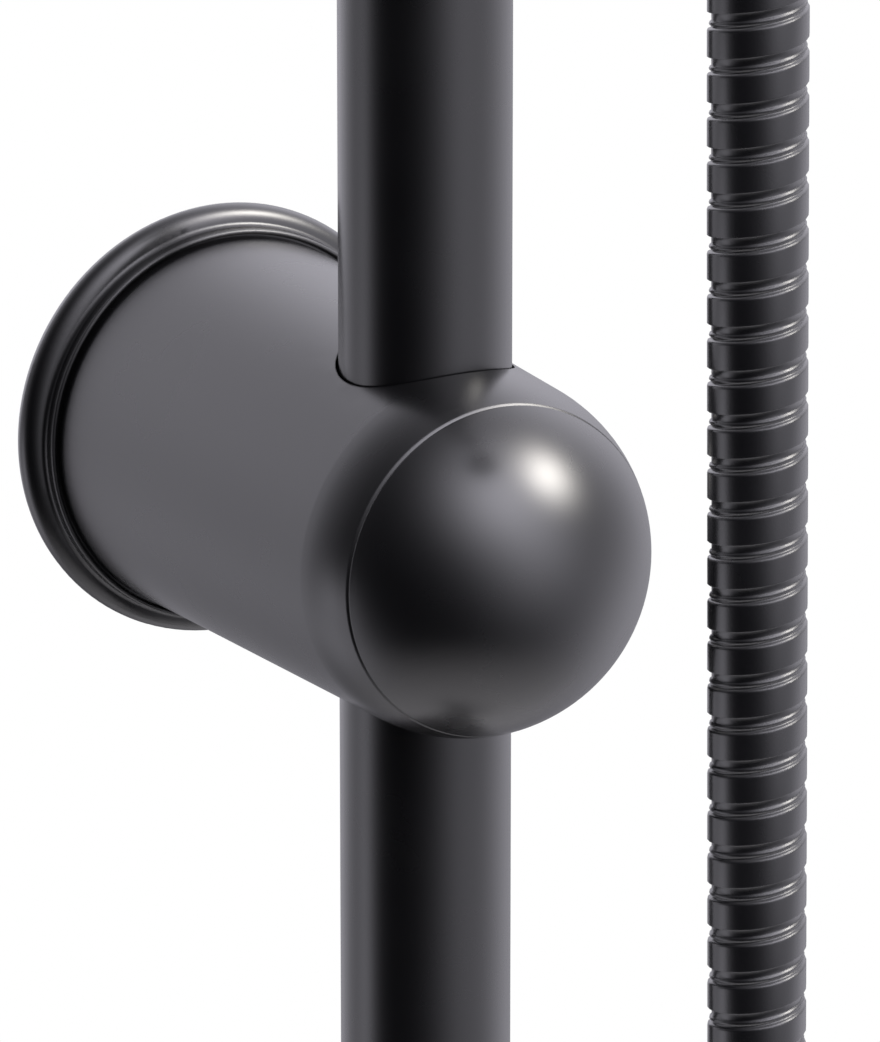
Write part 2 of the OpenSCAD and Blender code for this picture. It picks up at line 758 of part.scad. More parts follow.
// Flat washer between the outlet nut and the nipple
module hose_outlet_washer() {
    color(rubber) translate([outlet_x, -riser_off, -outlet_nut_end + outlet_nut_floor]) difference() {
        cylinder(h = outlet_nut_end - nipple_end - outlet_nut_floor, r = thread_r - 0.4);
        translate([0, 0, -1]) cylinder(h = 5, r = 5);
    }
}

// Point on the smooth curve through the route's points, a share of the way from one to the next
function route_at(i, share) =
    let (last = len(hose_pts) - 1, a = hose_pts[max(i - 1, 0)], b = hose_pts[i],
         c = hose_pts[min(i + 1, last)], d = hose_pts[min(i + 2, last)],
         from = (c - a) / 2, to = (d - b) / 2, t = share)
    b * (2 * t * t * t - 3 * t * t + 1) + from * (t * t * t - 2 * t * t + t)
        + c * (3 * t * t - 2 * t * t * t) + to * (t * t * t - t * t);

// The plain hose: one tube swept along the route
module hose() {
    last = len(hose_pts) - 1;
    line = concat([for (i = [0:last - 1]) for (k = [0:hose_steps - 1]) route_at(i, k / hose_steps)],
        [hose_pts[last]]);
    count = len(line);
    side = [0.743, -0.669, 0];
    ring = [for (i = [0:count - 1])
        let (run = line[min(i + 1, count - 1)] - line[max(i - 1, 0)], t = run / norm(run),
             flat = side - t * (side * t), u = flat / norm(flat), v = cross(t, u))
        for (k = [0:hose_sides - 1]) let (a = 360 * k / hose_sides)
            line[i] + hose_d / 2 * (cos(a) * u + sin(a) * v)];
    walls = [for (i = [0:count - 2]) for (k = [0:hose_sides - 1])
        let (a = i * hose_sides + k, b = i * hose_sides + (k + 1) % hose_sides)
        [a, a + hose_sides, b + hose_sides, b]];
    low_end = [for (k = [0:hose_sides - 1]) k];
    high_end = [for (k = [hose_sides - 1:-1:0]) (count - 1) * hose_sides + k];
    color(dark_steel) polyhedron(ring, concat(walls, [low_end, high_end]));
}

// Diverter

// Ball-shaped valve body with a socket for the riser, a side branch and an elbow to the hose
module diverter_body() {
    color(black) translate([0, -riser_off, -diverter_drop]) difference() {
        union() {
            sphere(r = diverter_r);
            translate([0, 0, -lower_neck_len]) cylinder(h = lower_neck_len, r = lower_neck_r);
            cylinder(h = upper_neck_len, r = upper_neck_r);
            rotate([0, -90, 0]) cylinder(h = -branch_x, r = branch_r);
            rotate([0, 90, 0]) cylinder(h = outlet_x, r = elbow_r);
            translate([outlet_x, 0, 0]) sphere(r = elbow_ball_r);
            translate([outlet_x, 0, diverter_drop - outlet_end])
                cylinder(h = outlet_end - diverter_drop, r = outlet_r);
        }
        translate([0, 0, foot_bore]) cylinder(h = 60, r = tube_r + 0.1);
        translate([0, 0, -60]) cylinder(h = 100, r = riser_bore_r);
        translate([0, 0, -lower_neck_len - 1]) cylinder(h = 9, r = tail_r);
        translate([cartridge_back_x, 0, 0]) rotate([0, -90, 0]) cylinder(h = 60, r = cartridge_r + 0.1);
        rotate([0, 90, 0]) cylinder(h = outlet_x, r = valve_bore_r);
        translate([outlet_x, 0, -30]) cylinder(h = 30, r = valve_bore_r);
        for (up = foot_seal_heights) translate([0, 0, up])
            rotate_extrude() translate([tube_r + 0.1, 0]) square([2, seal_groove_w], center = true);
        translate([outlet_x, 0, diverter_drop - outlet_end - 1]) cylinder(h = 9, r = nipple_r);
    }
}

// Ceramic valve cartridge
module diverter_cartridge() {
    color(brass) translate([cartridge_back_x, -riser_off, -diverter_drop]) rotate([0, -90, 0]) difference() {
        cylinder(h = 34, r = cartridge_r);
        translate([0, 0, 10]) rotate([90, 0, 0]) cylinder(h = 40, r = valve_bore_r - 1, center = true);
        translate([0, 0, 18]) cylinder(h = 20, r = stem_r + run_gap);
    }
}

// Spindle that the knob turns in the cartridge
module diverter_spindle() {
    color(brass) translate([-14, -riser_off, -diverter_drop]) rotate([0, -90, 0]) cylinder(h = 34, r = stem_r);
}

// Ring nut that holds the cartridge in
module cartridge_nut() {
    color(black) translate([branch_x, -riser_off, -diverter_drop]) rotate([0, -90, 0]) difference() {
        cylinder(h = 3.5, r = branch_r - 1);
        translate([0, 0, -1]) cylinder(h = 6, r = stem_r + 1);
    }
}

// Ball-fronted knob that turns the cartridge
module diverter_knob() {
    color(black) translate([diverter_knob_x, -riser_off, -diverter_drop]) rotate([0, -90, 0]) difference() {
        ball_knob(knob_ball_r, 2, 6);
        translate([0, 0, -1]) cylinder(h = 13, r = stem_r + fit_gap);
        translate([lever_root, 0, diverter_knob_x - lever_x]) rotate([0, 90, 0])
            cylinder(h = 12, r = lever_r + fit_gap);
    }
}

// Slim lever pin in the knob's rim, with a rounded tip
module diverter_lever() {
    color(black) translate([lever_x, -riser_off, -diverter_drop + lever_root]) union() {
        cylinder(h = lever_len, r = lever_r);
        translate([0, 0, lever_len]) sphere(r = lever_tip_r);
    }
}

// Two O-rings round the riser's foot
module riser_foot_seals() {
    color(rubber) for (up = foot_seal_heights) translate([0, -riser_off, -diverter_drop + up])
        rotate_extrude() translate([tube_r + seal_wire_r + seal_ease, 0]) circle(r = seal_wire_r, $fn = 24);
}

// Threaded outlet that the hose's nut screws on to
module outlet_nipple() {
    color(brass) translate([outlet_x, -riser_off, -nipple_end]) difference() {
        union() {
            cylinder(h = nipple_end - outlet_end, r = thread_r);
            cylinder(h = nipple_end - outlet_end + 8, r = nipple_r);
        }
        translate([0, 0, -1]) cylinder(h = 40, r = valve_bore_r - 0.5);
    }
}

// Flanged tail under the valve body, which the inlet nut pulls down
module inlet_tail() {
    color(brass) translate([0, -riser_off, -inlet_end + inlet_thread + 2]) difference() {
        union() {
            cylinder(h = 1.5, r = inlet_seat_r - 0.1);
            cylinder(h = inlet_end - inlet_top - 9, r = tail_r);
        }
        translate([0, 0, -1]) cylinder(h = 40, r = valve_bore_r);
    }
}

// Swivel nut that joins the column to the pipe or mixer below it
module inlet_nut() {
    color(black) translate([0, -riser_off, -inlet_end]) difference() {
        union() {
            cylinder(h = inlet_end - inlet_top - 4, r = inlet_nut_r, $fn = 6);
            cylinder(h = inlet_end - inlet_top - 0.3, r = inlet_nut_r - 2.2);
        }
        translate([0, 0, -1]) cylinder(h = inlet_thread + 1, r = thread_r);
        cylinder(h = inlet_thread + 3.6, r = inlet_seat_r);
        cylinder(h = 40, r = tail_r + 0.1);
    }
}

// Flat washer in the inlet nut
module inlet_washer() {
    color(rubber) translate([0, -riser_off, -inlet_end + inlet_thread]) difference() {
        cylinder(h = 2, r = inlet_seat_r - 0.1);
        translate([0, 0, -1]) cylinder(h = 4, r = valve_bore_r);
    }
}

from_wall(0) wall_plate();  // lower_wall_plate
from_wall(0) rosette();  // lower_rosette
from_wall(0) bracket_arm();  // lower_arm
from_wall(0) arm_grub_screw();  // lower_arm_grub_screw
from_wall(0) clamp_pad();  // lower_clamp_pad
from_wall(0) clamp_ring();  // lower_clamp_ring
from_wall(0) end_cap();  // lower_end_cap
from_wall(bracket_pitch) wall_plate();  // upper_wall_plate
from_wall(bracket_pitch) rosette();  // upper_rosette
from_wall(bracket_pitch) bracket_arm();  // upper_arm
from_wall(bracket_pitch) arm_grub_screw();  // upper_arm_grub_screw
from_wall(bracket_pitch) clamp_pad();  // upper_clamp_pad
from_wall(bracket_pitch) clamp_ring();  // upper_clamp_ring
from_wall(bracket_pitch) end_cap();  // upper_end_cap
riser();
overhead_arm();
arm_joint_seals();
swivel_ball();
swivel_seat();
swivel_collar();
rain_head_shell();
rain_head_face();
rain_head_nozzle_mat();
slider_body();
slider_bush();
slider_clamp_spindle();
slider_knob();
cradle();
cradle_friction_washer();
cradle_pivot_screw();
handset_body();
handset_face();
handset_nozzle_mat();
handset_washer();
hose_cone_nut();
hose();
hose_outlet_nut();
hose_outlet_washer();
diverter_body();
diverter_cartridge();
cartridge_nut();
diverter_knob();
diverter_lever();
diverter_spindle();
outlet_nipple();
riser_foot_seals();
inlet_tail();
inlet_nut();
inlet_washer();
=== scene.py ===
import math

import bmesh
import bpy
from mathutils import Matrix, Vector


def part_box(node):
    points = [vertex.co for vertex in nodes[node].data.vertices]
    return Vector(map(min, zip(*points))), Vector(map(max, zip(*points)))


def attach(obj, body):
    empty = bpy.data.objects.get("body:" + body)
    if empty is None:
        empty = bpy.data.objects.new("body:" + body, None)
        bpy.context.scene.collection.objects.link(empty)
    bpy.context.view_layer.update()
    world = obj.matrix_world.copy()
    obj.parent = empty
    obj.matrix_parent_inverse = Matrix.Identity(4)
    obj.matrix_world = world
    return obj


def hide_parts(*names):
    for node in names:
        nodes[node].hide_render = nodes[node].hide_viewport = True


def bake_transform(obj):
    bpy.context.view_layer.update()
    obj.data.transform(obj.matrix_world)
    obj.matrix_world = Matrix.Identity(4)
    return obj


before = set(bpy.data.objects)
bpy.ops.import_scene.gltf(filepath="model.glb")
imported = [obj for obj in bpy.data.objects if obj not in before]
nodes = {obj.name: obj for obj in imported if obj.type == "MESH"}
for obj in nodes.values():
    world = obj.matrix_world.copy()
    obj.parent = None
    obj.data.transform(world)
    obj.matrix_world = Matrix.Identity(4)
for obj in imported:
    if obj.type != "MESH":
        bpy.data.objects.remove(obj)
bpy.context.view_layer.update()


# Camera: it looks down a little on the lower wall bracket, from the front left, through a very long lens.
# Its height and place are measured from the point where the riser's axis crosses the bracket's axis.
photo_width, photo_height = 880, 1042
camera_azimuth = math.radians(-27.865)
camera_elevation = math.radians(16.695)
camera_distance = 1.08087
focal_pixels = 7475
aim_right, aim_up = 0.00213, 0.00134
sensor_width = 36.0

riser_low, riser_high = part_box("riser")
riser_x = (riser_low.x + riser_high.x) / 2
riser_y = (riser_low.y + riser_high.y) / 2
bracket_centre = Vector((riser_x, riser_y, 0.0))

view_back = Vector((
    math.sin(camera_azimuth) * math.cos(camera_elevation),
    -math.cos(camera_azimuth) * math.cos(camera_elevation),
    math.sin(camera_elevation),
))
view_right = Vector((math.cos(camera_azimuth), math.sin(camera_azimuth), 0.0))
view_up = view_back.cross(view_right)

camera_data = bpy.data.cameras.new("camera")
camera_data.lens = focal_pixels * sensor_width / max(photo_width, photo_height)
camera_data.sensor_width = sensor_width
camera_data.clip_start, camera_data.clip_end = 0.05, 60.0
camera = bpy.data.objects.new("camera", camera_data)
bpy.context.scene.collection.objects.link(camera)
camera.rotation_mode = "QUATERNION"
camera.location = (
    bracket_centre + view_right * aim_right + view_up * aim_up + view_back * camera_distance
)
camera.rotation_quaternion = (-view_back).to_track_quat("-Z", "Y")
bpy.context.scene.camera = camera
bpy.context.scene.view_settings.view_transform = "Standard"


# Shower hose: black coated steel strip, wound into a tube with its edges hooked into each other, 1.5 m long.
# It hangs from the cone nut past the bracket, loops below the diverter and rises into the outlet nut.
hose_pitch = 0.00626
hose_phase = -1.02
hose_sides = 28
route_steps = 24
hose_route = [
    (0.075, -0.070, -0.480), (0.075, -0.070, -0.512), (0.079, -0.066, -0.546),
    (0.084, -0.060, -0.580), (0.089, -0.054, -0.613), (0.092, -0.051, -0.642),
    (0.092, -0.051, -0.664), (0.085, -0.058, -0.697), (0.069, -0.075, -0.721),
    (0.048, -0.099, -0.729), (0.026, -0.125, -0.720), (0.010, -0.142, -0.696),
    (0.004, -0.149, -0.663), (0.004, -0.148, -0.627), (0.007, -0.146, -0.591),
    (0.012, -0.142, -0.545), (0.018, -0.137, -0.490), (0.022, -0.132, -0.430),
    (0.0234, -0.130, -0.360), (0.0228, -0.130, -0.200), (0.0218, -0.130, -0.100),
    (0.0206, -0.130, 0.000), (0.0194, -0.130, 0.100), (0.0189, -0.130, 0.200),
    (0.0202, -0.130, 0.310), (0.021, -0.130, 0.380), (0.021, -0.130, 0.412),
    (0.021, -0.130, 0.444),
]

# One turn of the strip, in millimetres: how far along the hose, and how far from its axis
crown, slit, lip, channel = 7.0, 6.44, 6.74, 6.40
strip_section = [
    (0.00, crown - 0.12), (0.10, crown), (3.70, crown), (3.86, crown - 0.03), (3.98, crown - 0.14),
    (4.08, crown - 0.34), (4.16, slit), (4.34, slit), (4.50, lip - 0.08), (4.74, lip),
    (4.92, lip - 0.06), (5.04, lip - 0.20), (5.12, channel), (6.20, channel),
]


def smooth_route(points, steps):
    """Points down the middle of the smooth curve through a cord's route."""
    points = [Vector(p) for p in points]
    last = len(points) - 1
    line = []
    for i in range(last):
        before, here = points[max(i - 1, 0)], points[i]
        after, beyond = points[i + 1], points[min(i + 2, last)]
        leave, arrive = (after - before) / 2, (beyond - here) / 2
        for k in range(steps):
            t = k / steps
            line.append(
                here * (2 * t**3 - 3 * t**2 + 1) + leave * (t**3 - 2 * t**2 + t)
                + after * (3 * t**2 - 2 * t**3) + arrive * (t**3 - t**2)
            )
    line.append(points[last])
    return line


def walking_frames(line):
    """The distance run, the place and a pair of untwisted crossways directions at each point of a line."""
    frames = []
    run = 0.0
    side = Vector((1, 0, 0))
    for i, place in enumerate(line):
        ahead = (line[min(i + 1, len(line) - 1)] - line[max(i - 1, 0)]).normalized()
        side = (side - ahead * side.dot(ahead)).normalized()
        if i:
            run += (place - line[i - 1]).length
        frames.append((run, place, side, ahead.cross(side)))
    return frames


def build_wound_hose(name, line, section, pitch, sides, phase):
    """A strip wound round a line: each turn's first edge is the last edge of the turn before it."""
    frames = walking_frames(line)
    total = frames[-1][0]
    at = 0

    def point_on(run, angle, radius):
        nonlocal at
        while at > 0 and frames[at][0] > run:
            at -= 1
        while at < len(frames) - 2 and frames[at + 1][0] < run:
            at += 1
        a, b = frames[at], frames[at + 1]
        share = (run - a[0]) / (b[0] - a[0])
        place = a[1].lerp(b[1], share)
        side = a[2].lerp(b[2], share)
        across = a[3].lerp(b[3], share)
        return place + (side * math.cos(angle) + across * math.sin(angle)) * radius

    mesh = bmesh.new()
    wound = mesh.loops.layers.uv.new("wound")
    columns = len(section)
    across = [along / 1000 for along, radius in section] + [pitch]
    turn_step = 2 * math.pi * section[1][1] / 1000 / sides
    turns = int(total / pitch) - 1
    spare = (total - turns * pitch) / 2
    rows = []
    for i in range((turns - 1) * sides + 1):
        angle = 2 * math.pi * i / sides + phase
        start = spare + pitch * i / sides
        rows.append([
            mesh.verts.new(point_on(start + along / 1000, angle, radius / 1000))
            for along, radius in section
        ])
    last_angle = 2 * math.pi * ((turns - 1) * sides) / sides + phase
    for i in range(sides):
        angle = last_angle + 2 * math.pi * (i + 1) / sides
        start = spare + pitch * ((turns - 1) * sides + i + 1) / sides
        rows.append([mesh.verts.new(point_on(start, angle, section[0][1] / 1000))])
    for i in range((turns - 1) * sides):
        this_row = rows[i] + [rows[i + sides][0]]
        next_row = rows[i + 1] + [rows[i + 1 + sides][0]]
        for j in range(columns):
            face = mesh.faces.new((this_row[j], next_row[j], next_row[j + 1], this_row[j + 1]))
            corners = ((i, j), (i + 1, j), (i + 1, j + 1), (i, j + 1))
            for loop, (row, column) in zip(face.loops, corners):
                loop[wound].uv = (row * turn_step, across[column])
    low_rim = [rows[i][0] for i in range(sides)] + [rows[sides][0]] + list(reversed(rows[0][1:]))
    top = (turns - 1) * sides
    high_rim = [rows[top + i][0] for i in range(sides + 1)] + list(reversed(rows[top][1:]))
    for rim, run, turn in ((low_rim, 0.0, 1), (high_rim, total, -1)):
        middle = mesh.verts.new(point_on(min(max(run, 1e-6), total - 1e-6), 0.0, 0.0))
        for i in range(len(rim)):
            corner, following = rim[i], rim[(i + 1) % len(rim)]
            mesh.faces.new((following, corner, middle) if turn > 0 else (corner, following, middle))
    bmesh.ops.recalc_face_normals(mesh, faces=mesh.faces)
    for face in mesh.faces:
        face.smooth = True
    data = bpy.data.meshes.new(name)
    mesh.to_mesh(data)
    mesh.free()
    piece = bpy.data.objects.new(name, data)
    bpy.context.scene.collection.objects.link(piece)
    return piece


hose_line = smooth_route(hose_route, route_steps)
hose = build_wound_hose("wound_hose", hose_line, strip_section, hose_pitch, hose_sides, hose_phase)
crisp = hose.modifiers.new("flat_crowns", "WEIGHTED_NORMAL")
crisp.weight = 80
hose.visible_glossy = False  # the photograph's bracket shows no mirror image of the hose
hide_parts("hose")
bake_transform(hose)


# Studio: white surroundings for the camera, and soft lights round the object that fade out to their sides.
# Each light lies where its reflection shows on the cap, the arm and the riser. The left front stays dark, and
# the pale floor fades at its rim.
lamp_tint = (1.04, 1.00, 0.94)
room_tint = (1.00, 0.98, 1.08)
studio_lights = [
    # azimuth (0 in front, 90 right), elevation, brightness, spread in degrees, tint
    ("key_softbox", 55, 45, 34, 12, lamp_tint),
    ("softbox_glow", 10, 50, 7.5, 30, room_tint),
    ("front_wall", 20, 10, 2.3, 30, room_tint),
    ("right_wall", 80, -25, 1.7, 40, room_tint),
    ("backdrop_right", 120, 40, 2.8, 35, room_tint),
    ("backdrop_left", -165, 10, 2.0, 35, room_tint),
    ("left_strip", -115, -20, 1.5, 12, room_tint),
    ("left_floor", -125, -40, 1.5, 20, room_tint),
]
floor_height = -1.1
floor_solid, floor_gone = 0.10, 1.35
floor_tone = 0.42


def direction(azimuth, elevation):
    """The way to look from the bracket for that azimuth and elevation in degrees."""
    a, e = math.radians(azimuth), math.radians(elevation)
    return Vector((math.sin(a) * math.cos(e), -math.cos(a) * math.cos(e), math.sin(e)))


def new_group(name, inputs, outputs):
    """An empty shader node group with those sockets, and its input and output nodes."""
    group = bpy.data.node_groups.new(name, "ShaderNodeTree")
    for label, kind, default in inputs:
        socket = group.interface.new_socket(label, in_out="INPUT", socket_type=kind)
        socket.default_value = default
    for label, kind in outputs:
        group.interface.new_socket(label, in_out="OUTPUT", socket_type=kind)
    return group, group.nodes.new("NodeGroupInput"), group.nodes.new("NodeGroupOutput")


def add_math(tree, operation, first, second=None, clamp=False):
    """A maths node; each operand is a number or another node's output."""
    node = tree.nodes.new("ShaderNodeMath")
    node.operation = operation
    node.use_clamp = clamp
    for socket, value in zip(node.inputs, (first, second)):
        if isinstance(value, (int, float)):
            socket.default_value = value
        elif value is not None:
            tree.links.new(value, socket)
    return node.outputs[0]


lobe_group, lobe_in, lobe_out = new_group(
    "light_lobe",
    [
        ("Direction", "NodeSocketVector", (0, 0, 1)),
        ("Middle", "NodeSocketVector", (0, 0, 1)),
        ("Colour", "NodeSocketColor", (1, 1, 1, 1)),
        ("Sharpness", "NodeSocketFloat", 5.0),
    ],
    [("Colour", "NodeSocketColor")],
)
lobe_cosine = lobe_group.nodes.new("ShaderNodeVectorMath")
lobe_cosine.operation = "DOT_PRODUCT"
lobe_group.links.new(lobe_in.outputs["Direction"], lobe_cosine.inputs[0])
lobe_group.links.new(lobe_in.outputs["Middle"], lobe_cosine.inputs[1])
lobe_fall = add_math(lobe_group, "SUBTRACT", lobe_cosine.outputs["Value"], 1.0)
lobe_fall = add_math(lobe_group, "MULTIPLY", lobe_fall, lobe_in.outputs["Sharpness"])
lobe_share = add_math(lobe_group, "EXPONENT", lobe_fall)
lobe_tint = lobe_group.nodes.new("ShaderNodeVectorMath")
lobe_tint.operation = "SCALE"
lobe_group.links.new(lobe_in.outputs["Colour"], lobe_tint.inputs[0])
lobe_group.links.new(lobe_share, lobe_tint.inputs["Scale"])
lobe_group.links.new(lobe_tint.outputs["Vector"], lobe_out.inputs["Colour"])

world = bpy.data.worlds.new("studio")
bpy.context.scene.world = world
world.use_nodes = True
world_nodes = world.node_tree.nodes
world_links = world.node_tree.links
look = world_nodes.new("ShaderNodeTexCoord")
total = None
for name, azimuth, elevation, brightness, spread, tint in studio_lights:
    lobe = world_nodes.new("ShaderNodeGroup")
    lobe.node_tree = lobe_group
    lobe.name = lobe.label = name
    lobe.inputs["Middle"].default_value = direction(azimuth, elevation)
    lobe.inputs["Colour"].default_value = (*(brightness * share for share in tint), 1)
    lobe.inputs["Sharpness"].default_value = 1 / (1 - math.cos(math.radians(spread)))
    world_links.new(look.outputs["Generated"], lobe.inputs["Direction"])
    if total is None:
        total = lobe.outputs["Colour"]
    else:
        adding = world_nodes.new("ShaderNodeVectorMath")
        adding.operation = "ADD"
        world_links.new(total, adding.inputs[0])
        world_links.new(lobe.outputs["Colour"], adding.inputs[1])
        total = adding.outputs["Vector"]
surroundings = world_nodes["Background"]
world_links.new(total, surroundings.inputs["Color"])
seen = world_nodes.new("ShaderNodeBackground")
seen.inputs["Color"].default_value = (1, 1, 1, 1)
ray = world_nodes.new("ShaderNodeLightPath")
pick = world_nodes.new("ShaderNodeMixShader")
world_links.new(ray.outputs["Is Camera Ray"], pick.inputs["Fac"])
world_links.new(surroundings.outputs["Background"], pick.inputs[1])
world_links.new(seen.outputs["Background"], pick.inputs[2])
world_links.new(pick.outputs["Shader"], world_nodes["World Output"].inputs["Surface"])

floor_mesh = bmesh.new()
bmesh.ops.create_circle(floor_mesh, cap_ends=True, segments=96, radius=floor_gone + 0.05)
floor_data = bpy.data.meshes.new("studio_floor")
floor_mesh.to_mesh(floor_data)
floor_mesh.free()
floor = bpy.data.objects.new("studio_floor", floor_data)
floor.location = (0, -0.2, floor_height)
bpy.context.scene.collection.objects.link(floor)

floor_paint = bpy.data.materials.new("floor_paint")
floor_paint.use_nodes = True
floor_tree = floor_paint.node_tree
floor_shader = floor_tree.nodes["Principled BSDF"]
floor_shader.inputs["Roughness"].default_value = 0.85
floor_place = floor_tree.nodes.new("ShaderNodeTexCoord")
floor_out = floor_tree.nodes.new("ShaderNodeVectorMath")
floor_out.operation = "LENGTH"
floor_tree.links.new(floor_place.outputs["Object"], floor_out.inputs[0])
floor_fade = floor_tree.nodes.new("ShaderNodeMapRange")
floor_fade.interpolation_type = "SMOOTHSTEP"
floor_fade.inputs["From Min"].default_value = floor_solid
floor_fade.inputs["From Max"].default_value = floor_gone
floor_fade.inputs["To Min"].default_value = 1.0
floor_fade.inputs["To Max"].default_value = 0.0
floor_tree.links.new(floor_out.outputs["Value"], floor_fade.inputs["Value"])
floor_side = floor_tree.nodes.new("ShaderNodeNewGeometry")
floor_above = add_math(floor_tree, "SUBTRACT", 1.0, floor_side.outputs["Backfacing"])
floor_cover = add_math(floor_tree, "MULTIPLY", floor_fade.outputs["Result"], floor_above)
floor_tree.links.new(floor_cover, floor_shader.inputs["Alpha"])
floor_mottle = floor_tree.nodes.new("ShaderNodeTexNoise")
floor_mottle.inputs["Scale"].default_value = 14
floor_tree.links.new(floor_place.outputs["Object"], floor_mottle.inputs["Vector"])
floor_colour = floor_tree.nodes.new("ShaderNodeMix")
floor_colour.data_type = "RGBA"
for label, share in (("A", 0.98), ("B", 1.02)):
    floor_colour.inputs[label].default_value = (floor_tone * share, floor_tone * share, floor_tone * share, 1)
floor_tree.links.new(floor_mottle.outputs["Fac"], floor_colour.inputs["Factor"])
floor_tree.links.new(floor_colour.outputs["Result"], floor_shader.inputs["Base Color"])
floor_data.materials.append(floor_paint)


# Wall brackets: each is a turned rosette and a cast arm in matt black coated brass, with a ball-ended cap.
# A zinc plated wall plate, a grub screw, a brass ring and a nylon pad hold the arm to wall and riser.
brackets = ("lower", "upper")
bracket_black = ("rosette", "arm", "end_cap")
bracket_zinc = ("wall_plate", "arm_grub_screw")

grain_group, grain_in, grain_out = new_group(
    "fine_grain",
    [
        ("Place", "NodeSocketVector", (0, 0, 0)),
        ("Grain Size", "NodeSocketFloat", 0.0005),
        ("Patch Size", "NodeSocketFloat", 0.02),
    ],
    [("Height", "NodeSocketFloat"), ("Patch", "NodeSocketFloat")],
)
for label, detail, output in (("Grain Size", 3.0, "Height"), ("Patch Size", 5.0, "Patch")):
    noise = grain_group.nodes.new("ShaderNodeTexNoise")
    noise.inputs["Detail"].default_value = detail
    grain_group.links.new(grain_in.outputs["Place"], noise.inputs["Vector"])
    per_metre = add_math(grain_group, "DIVIDE", 1.0, grain_in.outputs[label])
    grain_group.links.new(per_metre, noise.inputs["Scale"])
    grain_group.links.new(noise.outputs["Fac"], grain_out.inputs[output])

# Edges: a mask for a painted highlight along the edges, and a normal that rounds them.
edge_group, edge_in, edge_out = new_group(
    "edge_rounding_and_highlight",
    [("Radius", "NodeSocketFloat", 0.0003)],
    [("Mask", "NodeSocketFloat"), ("Normal", "NodeSocketVector")],
)
edge_round = edge_group.nodes.new("ShaderNodeBevel")
edge_round.samples = 4
edge_group.links.new(edge_in.outputs["Radius"], edge_round.inputs["Radius"])
edge_flat = edge_group.nodes.new("ShaderNodeNewGeometry")
edge_cosine = edge_group.nodes.new("ShaderNodeVectorMath")
edge_cosine.operation = "DOT_PRODUCT"
edge_group.links.new(edge_round.outputs["Normal"], edge_cosine.inputs[0])
edge_group.links.new(edge_flat.outputs["Normal"], edge_cosine.inputs[1])
edge_turn = add_math(edge_group, "SUBTRACT", 1.0, edge_cosine.outputs["Value"])
edge_group.links.new(add_math(edge_group, "MULTIPLY", edge_turn, 4.0, clamp=True), edge_out.inputs["Mask"])
edge_group.links.new(edge_round.outputs["Normal"], edge_out.inputs["Normal"])


def coated(
    name, dark, light, painted_edge_highlight, metallic, roughness, spread, grain_size, grain_height, stretch=(1, 1, 1)
):
    """A finish with fine grain, slow patches in its tone and sheen, rounded edges, and a painted highlight: a
    lighter colour along its edges.
    """
    material = bpy.data.materials.new(name)
    material.use_nodes = True
    tree = material.node_tree
    shader = tree.nodes["Principled BSDF"]
    shader.inputs["Metallic"].default_value = metallic
    place = tree.nodes.new("ShaderNodeTexCoord")
    stretched = tree.nodes.new("ShaderNodeVectorMath")
    stretched.operation = "MULTIPLY"
    stretched.inputs[1].default_value = stretch
    tree.links.new(place.outputs["Object"], stretched.inputs[0])
    grain = tree.nodes.new("ShaderNodeGroup")
    grain.node_tree = grain_group
    grain.inputs["Grain Size"].default_value = grain_size
    tree.links.new(stretched.outputs["Vector"], grain.inputs["Place"])
    edge = tree.nodes.new("ShaderNodeGroup")
    edge.node_tree = edge_group
    tone = tree.nodes.new("ShaderNodeMix")
    tone.data_type = "RGBA"
    tone.inputs["A"].default_value = (*dark, 1)
    tone.inputs["B"].default_value = (*light, 1)
    tree.links.new(grain.outputs["Patch"], tone.inputs["Factor"])
    # Painted highlight: a lighter colour along the edges, in patches, standing in for the light that the
    # edges catch.
    edge_highlight_mix = tree.nodes.new("ShaderNodeMix")
    edge_highlight_mix.data_type = "RGBA"
    edge_highlight_mix.inputs["B"].default_value = (*painted_edge_highlight, 1)
    edge_highlight_share = add_math(tree, "MULTIPLY", edge.outputs["Mask"], grain.outputs["Patch"])
    tree.links.new(edge_highlight_share, edge_highlight_mix.inputs["Factor"])
    tree.links.new(tone.outputs["Result"], edge_highlight_mix.inputs["A"])
    tree.links.new(edge_highlight_mix.outputs["Result"], shader.inputs["Base Color"])
    sheen = tree.nodes.new("ShaderNodeMapRange")
    sheen.inputs["From Min"].default_value = 0.3
    sheen.inputs["From Max"].default_value = 0.7
    sheen.inputs["To Min"].default_value = roughness - spread
    sheen.inputs["To Max"].default_value = roughness + spread
    tree.links.new(grain.outputs["Patch"], sheen.inputs["Value"])
    tree.links.new(sheen.outputs["Result"], shader.inputs["Roughness"])
    bump = tree.nodes.new("ShaderNodeBump")
    bump.inputs["Distance"].default_value = grain_height
    tree.links.new(grain.outputs["Height"], bump.inputs["Height"])
    tree.links.new(edge.outputs["Normal"], bump.inputs["Normal"])
    tree.links.new(bump.outputs["Normal"], shader.inputs["Normal"])
    return material


def dress(names, finish):
    """Gives CAD pieces their finish."""
    for name in names:
        data = nodes[name].data
        data.materials.clear()
        data.materials.append(finish)


